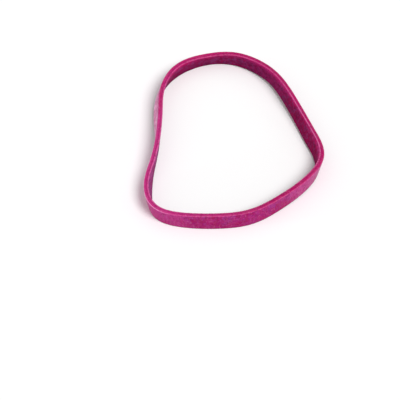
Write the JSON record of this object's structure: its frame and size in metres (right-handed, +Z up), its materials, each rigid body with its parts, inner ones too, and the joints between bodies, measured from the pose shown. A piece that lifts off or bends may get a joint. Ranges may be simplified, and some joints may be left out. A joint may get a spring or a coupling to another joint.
{
  "type": "rubber band",
  "caption": "Flat-cut rubber band lying open on its edge as a soft, slightly twisted oval loop, for holding papers and small things together.",
  "frame": {"origin": "centre of the loop's outline, on the surface that the band lies on", "axes": "+Z up, across the cut width of the band; +Y along the loop's longer way, away from the near stretch; +X to the right of it"},
  "size_m": [0.033, 0.0476, 0.004],
  "materials": {
    "rubber": "matt dyed rubber with a faint powdery bloom"
  },
  "bodies": {
    "root": {"band": "rubber"}
  },
  "joints": []
}
